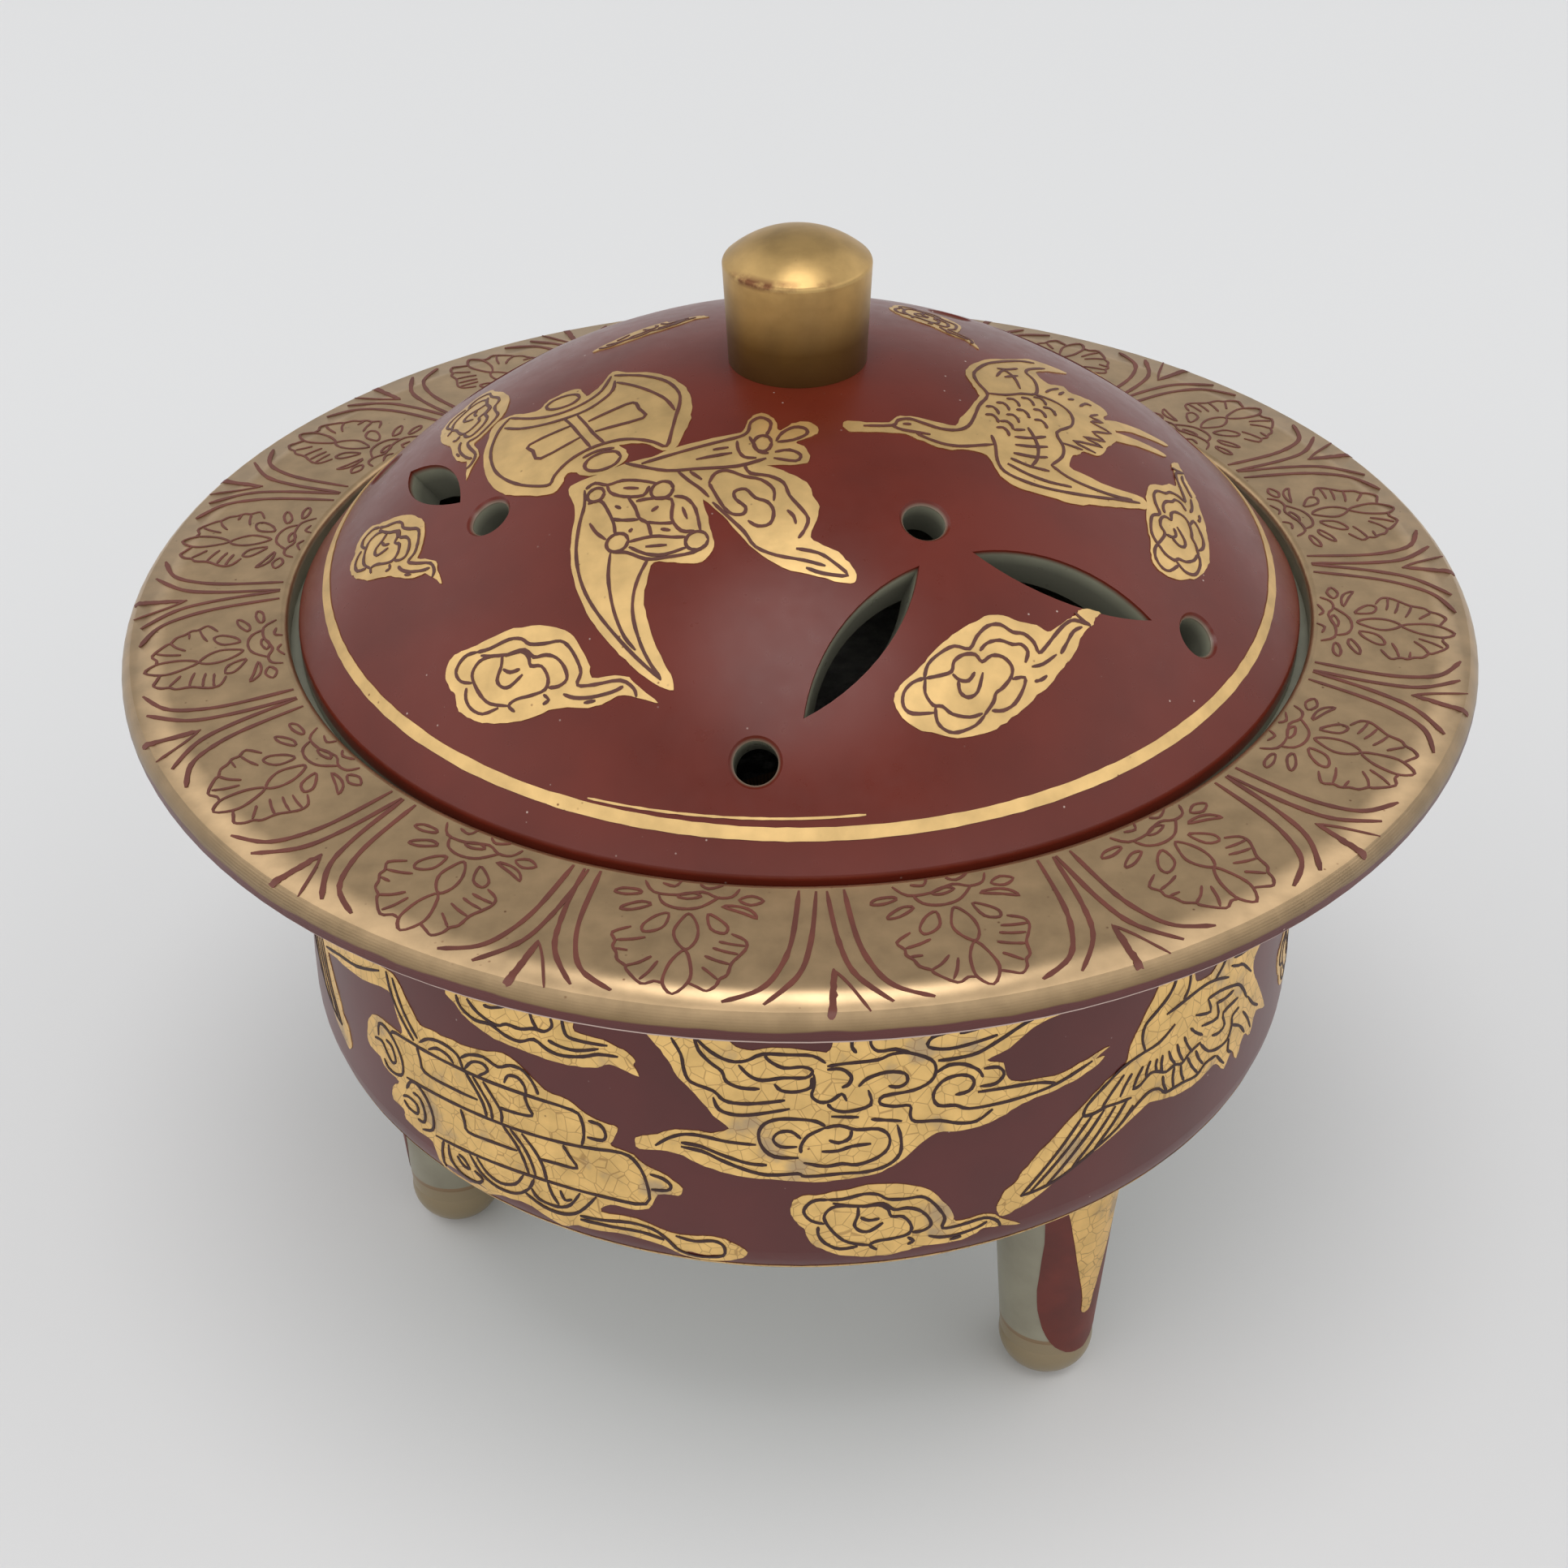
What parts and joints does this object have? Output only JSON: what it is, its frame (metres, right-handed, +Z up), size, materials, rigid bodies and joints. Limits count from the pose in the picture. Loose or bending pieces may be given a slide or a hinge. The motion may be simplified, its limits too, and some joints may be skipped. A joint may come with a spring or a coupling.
{
  "type": "incense burner",
  "caption": "Porcelain tripod incense burner with a wide flat rim and a pierced dome lid that lifts out of a rebate in the mouth by its round knob.",
  "frame": {"origin": "on the surface that the three feet stand on, under the axis of the bowl", "axes": "+Z up along the axis of the bowl and lid; -Y is the side that faces the viewer in the picture; +X to the viewer's right"},
  "size_m": [0.12, 0.12, 0.1041],
  "materials": {
    "bowl_red_enamel": "deep red overglaze enamel, satin",
    "lid_red_enamel": "iron red overglaze enamel, satin",
    "foot_celadon": "grey-green glaze with red and gilt panels",
    "gilding": "worn satin gilding over glaze",
    "ash": "fine loose ash",
    "charcoal": "pressed charcoal, matte",
    "incense_wood": "split resinous wood"
  },
  "bodies": {
    "bowl": {"bowl": "bowl_red_enamel", "left_foot": "foot_celadon", "front_right_foot": "foot_celadon", "rear_foot": "foot_celadon", "ash_bed": "ash", "charcoal_tablet": "charcoal", "incense_chip": "incense_wood"},
    "lid": {"lid": "lid_red_enamel", "knob": "gilding"}
  },
  "joints": [
    {"name": "lid_lift", "type": "slide", "parent": "bowl", "child": "lid", "axis": [0, 0, 1], "range_m": [0, 0.06]}
  ]
}
